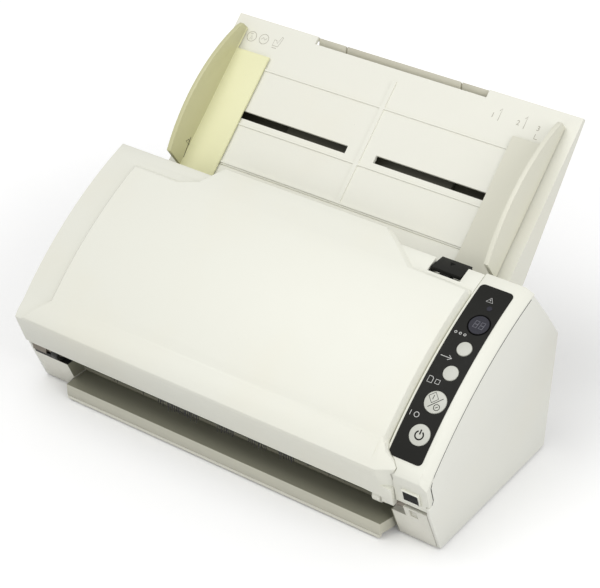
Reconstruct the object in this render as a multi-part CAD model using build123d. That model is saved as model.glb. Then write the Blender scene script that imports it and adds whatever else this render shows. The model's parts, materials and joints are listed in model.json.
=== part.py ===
"""Desktop document scanner: a sheet-fed scanner with a hinged front cover, an upright paper chute with two
coupled side guides, a pull-out stacker and four buttons. Millimetres, +X to the right, +Y to the back, +Z up.
The origin is the middle of the bottom of the box round the whole scanner."""
from build123d import *
import math
import os

# Body
HALF_WIDTH = 150.5            # half of the body's width
FOOT_HEIGHT = 1.2             # rubber feet under the chassis
WALL = 2.2                    # moulded wall
GAP = 0.4                     # clear space between two moving parts
BODY_SHIFT = -39.45           # from the y used in the sections below to the y of the finished parts

# Outer skin: an arc across the top of the cover and the control panel, in the Y-Z plane
ARC_Y = 123.8
ARC_Z = -109.3
ARC_RADIUS = 256.9
BAND_DROP = 3.3               # the cover's edge band lies this far below its raised middle
RAISED_SLOPE = 2.4            # width and drop of the sloping sides of the raised middle
COVER_UNDERSIDE = 4.7         # the shell's inner face lies this far below the raised middle
PANEL_DROP = 3.5              # the control panel lies this far below the cover
SEAM_DROP = 9.5               # top edge of the side covers
COVER_BACK_Y = 47.5
BAND_BACK_Y = 43.0
NOSE = (-65.2, 60.5)          # crease between the top skin and the front face of the control panel
COVER_NOSE = (-68.2, 59.6)    # the same crease on the front cover
LIP = (-60.5, 36.0)           # lower edge of the front face
PANEL_LIP = (-58.6, 35.8)     # the same edge under the control panel
BAND_INSET = 0.4              # the band's front face lies this far behind the raised one
COVER_RIGHT = 119.0
BAND_RIGHT = 119.8            # right end of the band behind the raised middle
COVER_LEFT = -150.5
PANEL_LEFT = 120.2
EDGE_CHAMFER = 4.5            # sloping outer edge of the control panel
SEAM_GAP = 0.6                # open seam between a side cover and what it meets
COVER_SLOPE = (2.0, 4.2)      # width and drop of the steep right edge of the cover

# Paper path: a slope from the chute down to the exit, with v up the slope and n out of it, towards the cover
SLOPE = 42.7
PATH_Y = 58.56
PATH_Z = 118.46
CHUTE_SEAT = -4.6             # v of the chute's lower end
CHUTE_TOP = 109.6
CHUTE_HALF = 126.5
CHUTE_SKIN = 2.2
FLANGE_DEPTH = 20.5           # depth of the chute's side flanges at the bottom
NOTCH = (-64.6, 62.0, 104.3)  # notch in the chute's top edge: left, right and v of its floor
SLOT_V = (42.9, 48.1)         # slots for the side guides
SLOT_X = (10.5, 113.5)
GUIDE_INNER = 90.0            # side guides pulled fully apart
GUIDE_FACE = 115.5
GUIDE_OUTER = 118.5
GUIDE_TOP = 86.0
GUIDE_LIFT = 1.0              # the guides' base plates run on the chute's ribs, this far above its face
RIB_HEIGHT = 0.7
FIN_TOP = 101.0
FIN_HEIGHT = 25.0
GUIDE_PINION_V = 45.5
RACK_N = -8.3                 # back face of the racks and of their pinion
RACK_THICKNESS = 4.0

# Brush under the cover's lip
TUFTS = 12
TUFT_STRANDS = 28
STRAND_RADIUS = 0.14

# Scan units on both sides of the paper path: v limits, half of the width
LOWER_SCAN_V = (-91.0, -67.0)
UPPER_SCAN_V = (-98.0, -78.0)
SCAN_HALF = 112.0

# Rollers: radius, and v along the paper path
ROLLER_CROWN = 0.4            # the driven rollers stand this far above the path
SHAFT_RADIUS = 3.0
PICK_RADIUS = 12.0
FEED_RADIUS = 8.0
FEED_V = -52.0
EJECT_V = -116.0
BRAKE_RADIUS = 9.0
BRAKE_SHAFT = 2.5
IDLER_RADIUS = 5.0
IDLER_SHAFT = 2.0
ROLLER_PLACES = (-71, -21, 21, 71)
NIP = 0.5                     # gap between a driven roller and its idler
RUNNING = 0.05                # radial clearance of a shaft in its bearing

# Gears
MODULE = 1.0
SHAFT_GEAR = 20
PICK_IDLER = 16
TRAIN_IDLER = 16
TRAIN_SAG = 11.0              # the middle gear hangs this far below the line of the feed and eject shafts
PINION = 10
MOTOR_RADIUS = 14.0
MOTOR_SHAFT = 1.5
GUIDE_PINION = 14
GEAR_X = (-130.0, -125.0)
SHAFT_X = (-131.0, 121.6)
STUD_RADIUS = 2.5             # fixed studs that the idler gears and the guide pinion turn on

# Hinge of the front cover, latch, stacker
HINGE = (-53.5, 31.5)
HINGE_PIN = 2.5
HINGE_EYE = 5.0
LATCH_V = -19.0
LATCH_N = 20.6
LATCH_SHAFT = 2.0
LATCH_HUB = 3.4
STRIKER_N = -5.0
STRIKER_RADIUS = 2.0
STACKER_X = (-121.0, 119.5)
STACKER_FRONT = -57.3
STACKER_TOP = 12.0
STACKER_BOTTOM = 3.9
DECK = (13.6, 15.6)           # floor of the body above the stacker
LEFT_WALL = (-122.0, -120.0)  # bearing walls of the chassis
RIGHT_WALL = (120.0, 122.0)
FOOT_LEFT = -132.6            # inner faces of the two feet
FOOT_RIGHT = 122.0

COS = math.cos(math.radians(SLOPE))
SIN = math.sin(math.radians(SLOPE))
PATH = Plane(origin=(0, PATH_Y, PATH_Z), x_dir=(1, 0, 0), z_dir=(0, -SIN, COS))


def on_path(v, n):
    """The y and z of a point given by its v and n."""
    return (PATH_Y + v * COS - n * SIN, PATH_Z + v * SIN + n * COS)


def block(x, y, z):
    """A box between pairs of limits."""
    return Pos(sum(x) / 2, sum(y) / 2, sum(z) / 2) * Box(x[1] - x[0], y[1] - y[0], z[1] - z[0])


def path_block(x, v, n):
    """A box along the paper path."""
    return PATH.location * block(x, v, n)


def rod(x, centre, radius):
    """A round bar along X."""
    return Pos((x[0] + x[1]) / 2, *centre) * Rot(0, 90, 0) * Cylinder(radius, x[1] - x[0])


def tube(x, centre, radius, bore):
    """A round bar along X with a bore."""
    return rod(x, centre, radius) - rod(x, centre, bore)


def prism(x, outline):
    """A Y-Z outline drawn out along X."""
    return extrude(Plane.YZ.offset(x[0]) * make_face(Polyline(*outline, close=True)), x[1] - x[0])


def skin_point(y, drop=0.0):
    """The point of the outer skin, lowered by drop, above y."""
    return (y, ARC_Z + math.sqrt((ARC_RADIUS - drop) ** 2 - (y - ARC_Y) ** 2))


def skin_face(drop, inset, back_y, back_foot, *under, crease=COVER_NOSE, lip=LIP):
    """The Y-Z section under the outer skin: arc, rounded nose, front face, then the points under it."""
    back = skin_point(back_y, drop)
    front = skin_point(-60.0, drop)
    middle = skin_point((back_y - 60.0) / 2, drop)
    nose = (crease[0] + inset, min(crease[1] - drop / 2, front[1] - 4.0))
    lip = (lip[0] + inset, lip[1])
    edges = [
        Line(back_foot, back),
        ThreePointArc(back, middle, front),
        ThreePointArc(front, ((front[0] + nose[0]) / 2 - 0.8, (front[1] + nose[1]) / 2), nose),
        Polyline(nose, lip, *under, back_foot),
    ]
    return make_face(edges)


def skin_solid(x, drop, inset, back_y, back_foot, *under, crease=COVER_NOSE, lip=LIP):
    """The section above drawn out along X."""
    face = skin_face(drop, inset, back_y, back_foot, *under, crease=crease, lip=lip)
    return extrude(Plane.YZ.offset(x[0]) * face, x[1] - x[0])


def skin_plane(x, y, drop):
    """A plane that touches the skin, lowered by drop, above x and y."""
    point = skin_point(y, drop)
    normal = (0, point[0] - ARC_Y, point[1] - ARC_Z)
    return Plane(origin=(x, *point), x_dir=(1, 0, 0), z_dir=normal)


def gear_face(teeth, phase, bore):
    """A spur gear with one tooth centred at the angle phase, in radians."""
    radius = MODULE * teeth / 2
    pitch = 2 * math.pi / teeth
    points = []
    for tooth in range(teeth):
        centre = phase + tooth * pitch
        for reach, spread in ((-1.15, -0.29), (0.85, -0.13), (0.85, 0.13), (-1.15, 0.29)):
            angle = centre + spread * pitch
            points.append(((radius + reach) * math.cos(angle), (radius + reach) * math.sin(angle)))
    return make_face(Polyline(*points, close=True)) - Circle(bore)


def mesh_phase(first, first_teeth, first_phase, second, second_teeth):
    """The phase that puts the second gear's gap on the first gear's tooth."""
    line = math.atan2(second[1] - first[1], second[0] - first[0])
    ratio = first_teeth / second_teeth
    return line + math.pi - ratio * (first_phase - line) + math.pi / second_teeth


def gear(centre, teeth, phase, bore):
    """A gear of the drive train on a shaft along X."""
    face = Plane.YZ.offset(GEAR_X[0]) * Pos(*centre) * gear_face(teeth, phase, bore)
    return extrude(face, GEAR_X[1] - GEAR_X[0])


def between(first, second, first_reach, second_reach, side):
    """The point at the two given distances from two points, on one side of the line between them."""
    dy = second[0] - first[0]
    dz = second[1] - first[1]
    span = math.hypot(dy, dz)
    along = (span ** 2 + first_reach ** 2 - second_reach ** 2) / (2 * span)
    off = side * math.sqrt(first_reach ** 2 - along ** 2)
    return (first[0] + (along * dy - off * dz) / span, first[1] + (along * dz + off * dy) / span)


# Shaft centres
FEED = on_path(FEED_V, ROLLER_CROWN - FEED_RADIUS)
PICK_V = FEED_V + 28.0
PICK = on_path(PICK_V, ROLLER_CROWN - PICK_RADIUS)
EJECT = on_path(EJECT_V, ROLLER_CROWN - FEED_RADIUS)
BRAKE = on_path(PICK_V, ROLLER_CROWN + NIP + BRAKE_RADIUS)
FEED_IDLER = on_path(FEED_V, ROLLER_CROWN + NIP + IDLER_RADIUS)
EJECT_IDLER = on_path(EJECT_V, ROLLER_CROWN + NIP + IDLER_RADIUS)
LATCH = on_path(LATCH_V, LATCH_N)
STRIKER = on_path(LATCH_V, STRIKER_N)

# Gear train: motor pinion, train idlers, feed gear, pick idler, pick gear, eject gear
PICK_REACH = MODULE * (SHAFT_GEAR + PICK_IDLER) / 2
SHAFT_REACH = MODULE * (SHAFT_GEAR + TRAIN_IDLER) / 2
PICK_IDLER_AT = between(FEED, PICK, PICK_REACH, PICK_REACH, -1)
TRAIN_V = (FEED_V + EJECT_V) / 2
TRAIN_N = ROLLER_CROWN - FEED_RADIUS - TRAIN_SAG
TRAIN_MIDDLE = on_path(TRAIN_V, TRAIN_N)
TRAIN_UPPER = between(FEED, TRAIN_MIDDLE, SHAFT_REACH, MODULE * TRAIN_IDLER, 1)
TRAIN_LOWER = between(EJECT, TRAIN_MIDDLE, SHAFT_REACH, MODULE * TRAIN_IDLER, -1)
MOTOR = on_path(TRAIN_V, TRAIN_N - MODULE * (TRAIN_IDLER + PINION) / 2)

FEED_PHASE = 0.0
PICK_IDLER_PHASE = mesh_phase(FEED, SHAFT_GEAR, FEED_PHASE, PICK_IDLER_AT, PICK_IDLER)
PICK_PHASE = mesh_phase(PICK_IDLER_AT, PICK_IDLER, PICK_IDLER_PHASE, PICK, SHAFT_GEAR)
UPPER_PHASE = mesh_phase(FEED, SHAFT_GEAR, FEED_PHASE, TRAIN_UPPER, TRAIN_IDLER)
MIDDLE_PHASE = mesh_phase(TRAIN_UPPER, TRAIN_IDLER, UPPER_PHASE, TRAIN_MIDDLE, TRAIN_IDLER)
LOWER_PHASE = mesh_phase(TRAIN_MIDDLE, TRAIN_IDLER, MIDDLE_PHASE, TRAIN_LOWER, TRAIN_IDLER)
EJECT_PHASE = mesh_phase(TRAIN_LOWER, TRAIN_IDLER, LOWER_PHASE, EJECT, SHAFT_GEAR)
MOTOR_PHASE = mesh_phase(TRAIN_MIDDLE, TRAIN_IDLER, MIDDLE_PHASE, MOTOR, PINION)

# Undersides of the two shells: the cover's ends above the paper path, the control panel's below it
COVER_UNDER = [(-57.0, 35.0), on_path(-136.0, 1.5), on_path(-31.0, 1.5), on_path(-12.3, 10.0)]
COVER_FOOT = (BAND_BACK_Y, 119.5)
PANEL_UNDER = [(-52.0, 36.5), on_path(-136.0, -2.0), on_path(-8.8, -2.0), on_path(-8.0, -0.6),
               on_path(-5.4, -0.6)]
PANEL_FOOT = (50.6, 121.0)
RAISED = [(-130.0, 29.5), (-94.0, 29.5), (-82.0, 34.5), (-73.0, 49.0), (50.5, 49.0), (61.0, 42.0),
          (78.0, 29.5), (120.5, 28.5), (120.5, -60.0)]
LEVER_X = (86.9, 109.0)
LEVER_Y = (33.0, 47.0)
LEVER_BACK = 48.6
OVERLAY_X = (121.6, 143.4)
OVERLAY_Y = (-58.8, 37.2)
BUTTON_X = 134.9
BUTTONS = {"power_button": (-47.1, 6.3), "scan_button": (-31.5, 6.7), "send_button": (-16.3, 4.6),
           "function_button": (-2.4, 4.5)}
DISPLAY = (12.6, 6.8)
WINDOW_Z = 44.6               # small window on the front face under the panel
WINDOW_FRAME = (11.8, 9.4)
WINDOW_PANE = (10.0, 7.6)
LAMP = (23.6, 1.6)

# In the Y-Z plane: front edge of the feet and the side covers, and what the right and the left side cover
# have above it
FOOT_FRONT = [(-58.0, 33.2), (-44.6, 1.2)]
SIDE_TAB = [(-56.4, 41.0), (-59.4, 39.6)]
LEFT_STEP = [(-56.2, 36.8), (-57.0, 34.6)]

# The cover's right end flares over the corner of the control panel and hangs down before the hinge.
# Its outline in X and Z:
EAR = [(113.0, 71.5), (118.4, 71.5), (120.8, 68.1), (127.0, 64.5), (129.8, 62.2), (128.6, 57.5),
       (127.4, 52.5), (127.3, 46.0), (126.8, 31.6), (119.0, 31.2), (119.0, 35.2), (104.5, 36.1), (113.0, 40.0)]
EAR_BACK = 4.6                # thickness of the flare
EAR_CLEAR = 0.6               # clear space round it in the panel
# Each facet of the flare passes through three points and cuts off what lies outside it
EAR_FACETS = [((114.6, -60.5, 69.5), (122.4, -66.7, 60.4), (128.9, -63.8, 61.5)),
              ((122.4, -66.7, 60.4), (121.8, -62.6, 46.0), (128.9, -63.8, 61.5))]


def raised_outline():
    """The raised middle of the cover as a solid with sloping sides, to be cut from the skin."""
    plane = skin_plane(0, -10.0, 0)
    points = []
    for x, y in RAISED:
        local = plane.to_local_coords(Vector(x, *skin_point(y)))
        points.append((local.X, local.Y))
    nose = [(COVER_RIGHT + 3, *COVER_NOSE), (COVER_RIGHT + 3, -61.0, 20.0), (-145.5, -61.0, 20.0),
            (-144.5, *COVER_NOSE), (-130.0, -59.0, 71.0)]
    for x, y, z in nose:
        local = plane.to_local_coords(Vector(x, y, z))
        points.append((local.X, local.Y))
    face = plane.offset(60) * make_face(Polyline(*points, close=True))
    return extrude(face, -160)


def raised_edges(raised):
    """The edges round the top of the raised middle: those that lie in the skin, but for its back and its nose."""
    edges = []
    for edge in raised.edges():
        reach = [math.hypot(point.Y - ARC_Y, point.Z - ARC_Z) for point in (edge @ 0, edge @ 0.5, edge @ 1)]
        middle = edge @ 0.5
        on_skin = max(abs(radius - ARC_RADIUS) for radius in reach) < 0.02
        if on_skin and middle.X < COVER_RIGHT - 1 and -58 < middle.Y < COVER_BACK_Y - 1:
            edges.append(edge)
    return edges


def skin_cone(start, radius, width, drop):
    """What a sloping edge cuts away from start on: a tube round the skin's axis, less a cone."""
    cone = Pos(start + width / 2, ARC_Y, ARC_Z) * Rot(0, 90, 0) * Cone(radius, radius - drop, width)
    return rod((start, start + width), (ARC_Y, ARC_Z), radius + 10) - cone


def front_prism(outline, grow):
    """An X-Z outline, grown, drawn out along Y through the front face."""
    face = make_face(Polyline(*outline, close=True))
    if grow:
        face = offset(face, grow)
    return extrude(Plane.XZ.offset(45) * face, 40)


def cover_ear():
    """The flared right end of the cover's front face."""
    foot = (LIP[0] + 2.1, 28.5)
    ear = skin_solid((103, 133), 0, 0, -46, (-46, 40), foot, (-46, 28.5))
    inside = skin_solid((102, 134), 4.9, EAR_BACK, -42, (-42, 40), (foot[0] + EAR_BACK, 28.0), (-42, 28.0))
    return (ear - inside) & front_prism(EAR, 0)


def outside(points):
    """The space beyond the plane through three points, towards the front right."""
    first, second, third = [Vector(*point) for point in points]
    normal = (second - first).cross(third - first)
    if normal.Y > 0:
        normal = -normal
    return Plane(origin=first, z_dir=normal).location * Pos(0, 0, 20) * Box(60, 60, 40)


def front_cover():
    """The outer shell of the cover: an edge band, the raised middle, side skirts and two hinge eyes."""
    edge_band = (BAND_DROP, BAND_INSET, BAND_BACK_Y, COVER_FOOT, *COVER_UNDER)
    outer = skin_solid((COVER_LEFT, COVER_RIGHT), *edge_band)
    outer += skin_solid((COVER_RIGHT, BAND_RIGHT), *edge_band) & block((115, 125), (28.9, 60), (100, 150))
    raised = skin_solid((COVER_LEFT, COVER_RIGHT), 0, 0, COVER_BACK_Y, (COVER_BACK_Y, 120.0), *COVER_UNDER)
    behind = COVER_BACK_Y + 5
    raised -= skin_solid((-152, 121), BAND_DROP + 1.0, WALL, behind, (behind, 110.0), (-50, 10), (0, 0))
    raised &= raised_outline()
    shell = outer + raised.chamfer(RAISED_SLOPE, RAISED_SLOPE, raised_edges(raised))
    hollow = [(-57.1, 28.0), (-40.0, 20.0), on_path(-60.0, -20.0), on_path(0.0, -20.0)]
    inner_back = BAND_BACK_Y - WALL
    inside = (COVER_LEFT + WALL, COVER_RIGHT - WALL)
    shell -= skin_solid(inside, COVER_UNDERSIDE, WALL + 1.2, inner_back, (inner_back, 100.0), *hollow)
    left_end = (COVER_LEFT - 1, COVER_LEFT + WALL)
    below_seam = BAND_BACK_Y + 5
    skirt = skin_solid(left_end, SEAM_DROP - GAP, WALL + 1.2, below_seam, (below_seam, 80), *hollow)
    shell -= skirt
    shell -= block(left_end, (-57.4, -30), (20, 56))
    shell -= block((COVER_LEFT + WALL, 116.4), (38, 44), (80, 119.3))
    shell -= block(LEVER_X, (LEVER_Y[0], 60), (121.0, 150))
    for x in ((-131.4, -126.5), (111.5, COVER_RIGHT - WALL)):
        web = prism(x, [(HINGE[0] - 3.5, HINGE[1] + 2), (-60.2, 42), (-61.5, 52), (-52, 56),
                        (HINGE[0] + 4.5, HINGE[1] + 1)])
        shell += rod(x, HINGE, HINGE_EYE) + web
    slope = skin_cone(COVER_RIGHT - COVER_SLOPE[0], ARC_RADIUS, COVER_SLOPE[0] * 1.5, COVER_SLOPE[1] * 1.5)
    shell -= slope & block((110, 125), (-58, 28.5), (60, 150))
    shell += cover_ear()
    for facet in EAR_FACETS:
        shell -= outside(facet) & block((115, 135), (-75, -56), (46, 80))
    shell -= rod((-152, 133), HINGE, HINGE_PIN + RUNNING)
    return shell


def inner_cover():
    """The cover's paper guide with side walls and bearing posts, open for the scan glass and the rollers."""
    under = [on_path(-136.0, 1.7), on_path(-30.5, 1.7), on_path(-13.0, 9.9)]
    guide = prism((-118, 116), under + [on_path(-14.4, 11.8), on_path(-31.3, 3.9), on_path(-136.0, 3.9)])
    for x in ((-118, -116), (114.2, 116)):
        guide += path_block(x, (-124, -34), (1.7, 20))
    for v, centre in ((FEED_V, FEED_IDLER), (EJECT_V, EJECT_IDLER)):
        for x in (-97, 97):
            guide += path_block((x - 2, x + 2), (v - 4, v + 4), (1.7, 11.5))
            guide -= rod((x - 3, x + 3), centre, IDLER_SHAFT + RUNNING)
    for x in (-30, 30):
        guide += path_block((x - 2, x + 2), (PICK_V - 4, PICK_V + 4), (1.7, 14.5))
        guide -= rod((x - 3, x + 3), BRAKE, BRAKE_SHAFT + RUNNING)
    for x in (-112, 82):
        guide += path_block((x - 2, x + 2), (LATCH_V - 3.2, LATCH_V + 3.2), (2.2, LATCH_N + 2.8))
        guide -= rod((x - 3, x + 3), LATCH, LATCH_SHAFT + RUNNING)
    guide -= path_block((-110, 110), (UPPER_SCAN_V[0] - 0.5, UPPER_SCAN_V[1] + 0.5), (0, 6))
    guide -= path_block((-27, 27), (PICK_V - 9.5, PICK_V + 9.5), (-1, 12))
    guide -= path_block((108.5, 113.9), (-24.0, -8.0), (-1, 14))
    for x in ROLLER_PLACES:
        guide -= path_block((x - 10, x + 10), (FEED_V - 6, FEED_V + 6), (-1, 5))
        guide -= path_block((x - 10, x + 10), (EJECT_V - 6, EJECT_V + 6), (-1, 5))
    below = [on_path(-137.0, -3.0)] + under + [on_path(-5.0, 14.0), on_path(0.0, -3.0)]
    return guide - prism((-119, 117), below)


def static_brush():
    """A strip under the cover's lip with tufts of fine strands that touch the paper as it leaves."""
    holder = block((-92, 101), (-57.0, -55.2), (35.6, 38.4))
    strands = []
    for tuft in range(TUFTS):
        for row in range(TUFT_STRANDS):
            x = -88.0 + tuft * 15.8 + row * 0.42
            uneven = 0.4 * math.sin(tuft * 2.1) + 0.3 * math.sin(row * 1.7) + 0.3 * math.sin(row * 4.3 + tuft)
            half = 1.9 + uneven
            strand = extrude(RegularPolygon(STRAND_RADIUS, 3), half, both=True)
            strands.append(Pos(x, -56.4 + 0.5 * (row % 2), 36.2 - half) * strand)
    return holder.fuse(*strands)


def release_lever():
    """The finger plate in the cover's recess with the arm and hub that turn the latch shaft."""
    plate = block((87.8, 108.2), (35.6, LEVER_BACK), (126.6, 129.2))
    arm = prism((94, 101), [(35.6, 127), (35.6, 129.2), (44, 129.2), (44, 127), (LATCH[0] + 3, LATCH[1] - 2),
                            (LATCH[0] - 1, LATCH[1] - 2)])
    hub = rod((91, 104), LATCH, LATCH_HUB)
    return plate + arm + hub - rod((90, 105), LATCH, LATCH_SHAFT)


def latch_hooks():
    """The two hooks on the ends of the latch shaft, each with its nose under a striker pin."""
    hooks = []
    for x in ((-140.5, -136.5), (109.6, 113.2)):
        arm = path_block(x, (LATCH_V + 2.5, LATCH_V + 5.2), (STRIKER_N - 4.6, LATCH_N))
        nose = path_block(x, (LATCH_V - 1.5, LATCH_V + 5.2), (STRIKER_N - 4.6, STRIKER_N - 2.4))
        hooks.append(arm + nose + rod(x, LATCH, LATCH_HUB) - rod((x[0] - 1, x[1] + 1), LATCH, LATCH_SHAFT))
    return hooks[0] + hooks[1]


def roller_set(xs, half, centre, radius, bore):
    """Rubber or plastic rollers of one width at several places along a shaft."""
    return Compound([tube((x - half, x + half), centre, radius, bore) for x in xs])


def side_profile(tab):
    """The Y-Z outline of a side cover, with its top edge along the seam below the skin."""
    edges = [
        Polyline((-44.6, 1.2), (75.0, 1.2), (78.6, 43.4), (81.5, 81.4), (65.3, 103.2), (47.0, 126.0),
                 skin_point(44.0, SEAM_DROP)),
        ThreePointArc(skin_point(44.0, SEAM_DROP), skin_point(-6.0, SEAM_DROP), skin_point(-57.0, SEAM_DROP)),
        Polyline(skin_point(-57.0, SEAM_DROP), (-58.5, 54.5), (-55.2, 44.0), *tab, *FOOT_FRONT),
    ]
    return make_face(edges)


def side_cover(x, tab):
    """One side cover plate."""
    return extrude(Plane.YZ.offset(x[0]) * side_profile(tab), x[1] - x[0])


def left_side_cover():
    """The left side plate with the boss that holds its striker pin."""
    cover = side_cover((-HALF_WIDTH, WALL - HALF_WIDTH), LEFT_STEP)
    cover += rod((-148.6, -143.0), STRIKER, 4.0)
    return cover - rod((-146.0, -142.0), STRIKER, STRIKER_RADIUS)


def right_side_cover():
    """The right side plate, with a tab under the corner of the control panel."""
    return side_cover((HALF_WIDTH - WALL, HALF_WIDTH), SIDE_TAB)


def control_panel_cover():
    """The fixed cover of the right end: top skin, inner side wall, front face with a window opening."""
    ends = (PANEL_LEFT, HALF_WIDTH)
    front = {"crease": NOSE, "lip": PANEL_LIP}
    shell = skin_solid(ends, PANEL_DROP, 0.6, BAND_BACK_Y + 1.5, PANEL_FOOT, *PANEL_UNDER, **front)
    shell -= skin_cone(HALF_WIDTH - EDGE_CHAMFER, ARC_RADIUS - PANEL_DROP, EDGE_CHAMFER + 2, EDGE_CHAMFER + 2)
    hollow = [(-40.0, 20.0), on_path(-60.0, -20.0), on_path(10.0, -30.0)]
    foot = (48.0, 90.0)
    under_skin = (HALF_WIDTH - EDGE_CHAMFER - WALL, 6.9)
    under_chamfer = (HALF_WIDTH - WALL + 0.6, SEAM_DROP + 2.5)
    for right, drop in (under_skin, under_chamfer):
        shell -= skin_solid((PANEL_LEFT + WALL, right), drop, 7.2, BAND_BACK_Y - 1, foot, *hollow)
    recess = skin_solid((112, 134), 5.4, EAR_BACK + 0.5, -40, (-40, 30), (LIP[0] + 5.6, 27), (-40, 27))
    shell -= front_prism(EAR, EAR_CLEAR) - recess
    side = Plane.YZ.offset(HALF_WIDTH - WALL - 0.1) * offset(side_profile(SIDE_TAB), SEAM_GAP)
    shell -= extrude(side, 5)
    shell -= block((HALF_WIDTH - WALL - 0.1, 152), (-46, 90), (0, 60))
    shell -= block((HALF_WIDTH - WALL - 0.1, 152), (-66, -50), (30, 41))
    for y, radius in BUTTONS.values():
        plane = skin_plane(BUTTON_X, y, PANEL_DROP)
        shell -= plane.location * Cylinder(radius + 0.25, 12)
    for y, radius in (DISPLAY, LAMP):
        plane = skin_plane(BUTTON_X, y, PANEL_DROP)
        shell -= plane.location * Cylinder(radius, 12)
    shell -= nose_plane(WINDOW_Z, 0.5).location * Box(*WINDOW_FRAME, 1.8)
    return shell - nose_plane(WINDOW_Z, 0.0).location * Box(*WINDOW_PANE, 12)


def panel_overlay():
    """The dark label plate on the control panel, with rounded corners and button holes."""
    x0, x1 = OVERLAY_X
    under = (45, (45, 80), (-45, 10), (0, 30))
    ring = skin_solid((x0, x1), PANEL_DROP - 0.4, 0.6, *under, crease=NOSE)
    ring -= skin_solid((x0 - 1, x1 + 1), PANEL_DROP, 0.6, *under, crease=NOSE)
    plane = skin_plane((x0 + x1) / 2, -10.0, 0)
    ends = [plane.to_local_coords(Vector(0, *skin_point(y, PANEL_DROP))).Y for y in OVERLAY_Y]
    patch = Pos(0, sum(ends) / 2) * RectangleRounded(x1 - x0, ends[1] - ends[0], 3.0)
    overlay = ring & extrude(plane.offset(40) * patch, -80)
    for y, radius in list(BUTTONS.values()) + [DISPLAY, LAMP]:
        clear = 0.25 if (y, radius) in BUTTONS.values() else 0.0
        overlay -= skin_plane(BUTTON_X, y, PANEL_DROP).location * Cylinder(radius + clear, 12)
    return overlay - front_prism(EAR, EAR_CLEAR)


def button(y, radius):
    """A round push button on a stem, standing 0.9 mm out of the panel."""
    place = skin_plane(BUTTON_X, y, PANEL_DROP).location
    cap = place * Pos(0, 0, -2.2) * Cylinder(radius, 6.2)
    return cap + place * Pos(0, 0, -7.7) * Cylinder(2.0, 5.6)


def display_window():
    """The round window of the function number display."""
    place = skin_plane(BUTTON_X, DISPLAY[0], PANEL_DROP).location
    return place * Pos(0, 0, -0.9) * Cylinder(DISPLAY[1], 2.8)


def check_lamp():
    """The small lamp lens at the top of the panel."""
    place = skin_plane(BUTTON_X, LAMP[0], PANEL_DROP).location
    return place * Pos(0, 0, -1.2) * Cylinder(LAMP[1], 3.6)


def chassis():
    """The frame: two feet, the deck over the stacker, two bearing walls and the studs of the gear train."""
    foot = [(72.8, FOOT_HEIGHT), (72.8, 20.0), (-40.0, 20.0), (-48.5, 33.2), *FOOT_FRONT]
    foot_end = HALF_WIDTH - WALL - 0.35
    left = prism((-foot_end, -121.6), foot)
    wedge = make_face(Polyline((FOOT_LEFT, 0), (-121.6, 12.7), (-120, 12.7), (-120, 0), close=True))
    left -= extrude(Plane.XZ.offset(60) * wedge, -140)
    right = prism((FOOT_RIGHT, foot_end), foot)
    frame = left + right
    frame += block((-122, 122.5), (-40, 73.0), DECK)
    frame += block((-122, 122.5), (69.0, 73.0), (1.2, 14))
    wall = [(-38, 15), on_path(-137, -3.2), on_path(-7.6, -3.2), (70.5, 88), (70.5, 15)]
    frame += prism(LEFT_WALL, wall) + prism(RIGHT_WALL, wall)
    for x in ((-146.5, -128), (FOOT_RIGHT - 0.1, 141)):
        frame -= rod(x, HINGE, HINGE_PIN)
    frame -= block((-144.5, -132.0), (-60, -50), (28.5, 34))
    frame -= block((-149.0, -132.0), (-60, -54.2), (28.8, 34))
    frame -= rod((FOOT_RIGHT - 0.1, 132.2), HINGE, 7.6)
    frame -= block((135.6, 140.7), (-60, -53.8), (25.4, 31.5))
    frame -= block((-132.1, -121.0), (-60, -47), (25.2, 34))
    for centre in (PICK, FEED, EJECT):
        frame -= rod((-123, 123), centre, SHAFT_RADIUS + RUNNING)
    frame -= rod((-123, -119), MOTOR, 7.0)
    frame -= rod((119, 123), STRIKER, STRIKER_RADIUS)
    for x in ((-131, -117.5), (117, 122.5)):
        frame += block(x, (-30, 70), (FOOT_HEIGHT, 3.6))
    for centre in (TRAIN_UPPER, TRAIN_MIDDLE, TRAIN_LOWER, PICK_IDLER_AT):
        frame += rod((-131.5, -121), centre, STUD_RADIUS)
    return frame


def lower_guide():
    """The lower half of the paper path, open for the scan glass, the rollers and the latch hook."""
    guide = path_block((-118, 118), (-139, -7.6), (-2.6, -0.6))
    for x in ((-118, -116), (116, 118)):
        guide += path_block(x, (-130, -20), (-8, -2))
    guide -= path_block((-112.3, 112.3), (LOWER_SCAN_V[0] - 0.3, LOWER_SCAN_V[1] + 0.3), (-4, 1))
    guide -= path_block((-22, 22), (PICK_V - 9, PICK_V + 9), (-4, 1))
    guide -= path_block((108.4, 119), (LATCH_V - 4, LATCH_V + 12), (-12, 1))
    for x in ROLLER_PLACES:
        guide -= path_block((x - 10, x + 10), (FEED_V - 7, FEED_V + 7), (-4, 1))
        guide -= path_block((x - 10, x + 10), (EJECT_V - 7, EJECT_V + 7), (-4, 1))
    for centre in (PICK, FEED, EJECT):
        guide -= rod((-119, 119), centre, SHAFT_RADIUS + 0.6)
    return guide


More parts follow.
